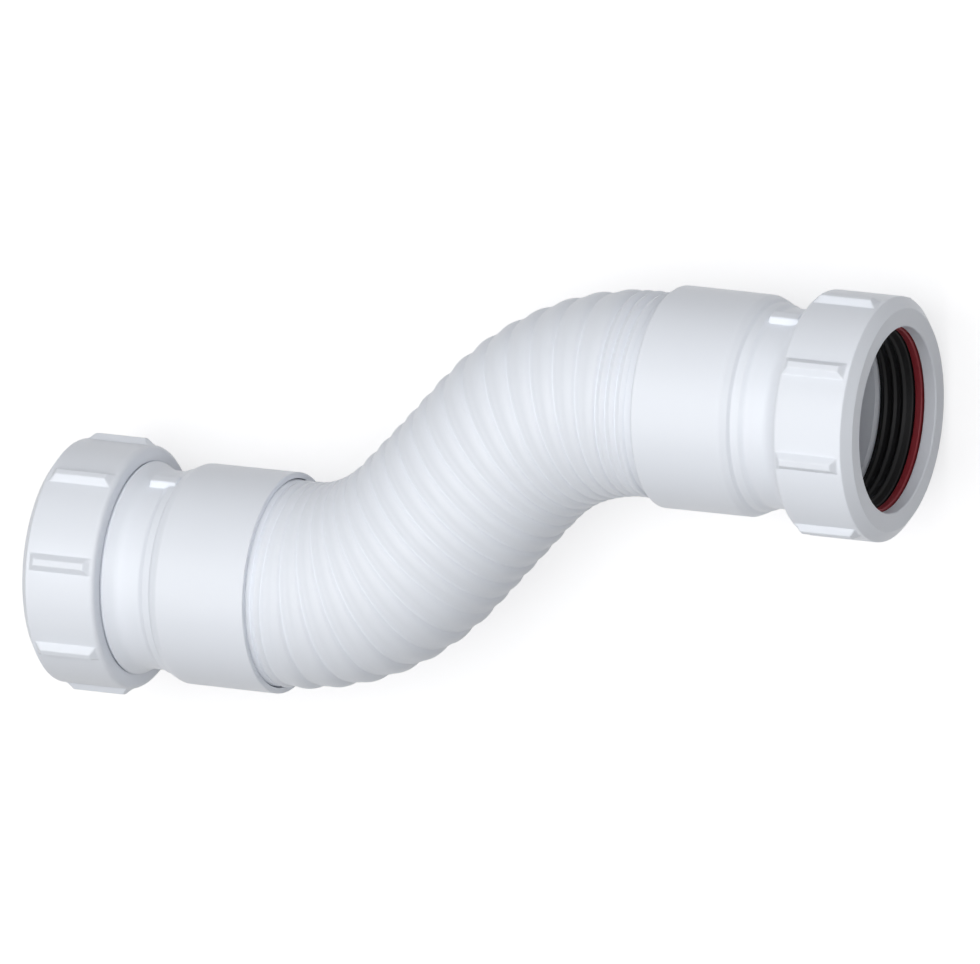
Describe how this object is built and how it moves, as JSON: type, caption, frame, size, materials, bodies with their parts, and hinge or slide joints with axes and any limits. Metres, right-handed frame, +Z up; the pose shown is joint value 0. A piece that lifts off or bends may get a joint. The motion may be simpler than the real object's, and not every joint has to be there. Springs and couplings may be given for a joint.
{
  "type": "flexible waste connector",
  "caption": "Flexible waste pipe connector: a corrugated plastic tube bent into an S between compression ends with ribbed nuts, washers and rubber seals.",
  "frame": {"origin": "on the floor, under the middle of the S, at the centre of the bounding box's base", "axes": "+X along both ends' axes towards the end at the picture's right, +Y the way that end is offset, +Z up"},
  "size_m": [0.2214, 0.119, 0.0621],
  "materials": {
    "white_plastic": "satin moulded plastic",
    "tube_plastic": "satin flexible plastic",
    "red_washer": "dull red plastic",
    "black_rubber": "matte rubber"
  },
  "bodies": {
    "left_end": {"left_end": "white_plastic", "left_seal": "black_rubber"},
    "left_washer": {"left_washer": "red_washer"},
    "left_nut": {"left_nut": "white_plastic"},
    "tube": {"bellows": "tube_plastic"},
    "right_end": {"right_end": "white_plastic", "right_seal": "black_rubber"},
    "right_washer": {"right_washer": "red_washer"},
    "right_nut": {"right_nut": "white_plastic"}
  },
  "joints": [
    {"name": "bend_left", "type": "hinge", "parent": "left_end", "child": "tube", "pos_m": [-0.02804, -0.02842, 0.03104], "axis": [0, 0, 1], "range_deg": [-47, 15], "deforming": ["bellows"]},
    {"name": "bend_right", "type": "hinge", "parent": "tube", "child": "right_end", "pos_m": [0.02409, 0.02842, 0.03104], "axis": [0, 0, 1], "range_deg": [-15, 47], "deforming": ["bellows"]},
    {"name": "left_nut_travel", "type": "slide", "parent": "left_end", "child": "left_washer", "axis": [-1, 0, 0], "range_m": [0, 0.0091]},
    {"name": "left_nut_turn", "type": "hinge", "parent": "left_washer", "child": "left_nut", "pos_m": [-0.11073, -0.02842, 0.03104], "axis": [-1, 0, 0], "range_deg": [0, 1080]},
    {"name": "right_nut_travel", "type": "slide", "parent": "right_end", "child": "right_washer", "axis": [1, 0, 0], "range_m": [0, 0.0091]},
    {"name": "right_nut_turn", "type": "hinge", "parent": "right_washer", "child": "right_nut", "pos_m": [0.11073, 0.02842, 0.03104], "axis": [1, 0, 0], "range_deg": [0, 1080]}
  ],
  "couplings": [
    {"joint": "left_nut_travel", "follows": "left_nut_turn", "m_per_rad": 0.00047746},
    {"joint": "right_nut_travel", "follows": "right_nut_turn", "m_per_rad": 0.00047746}
  ]
}
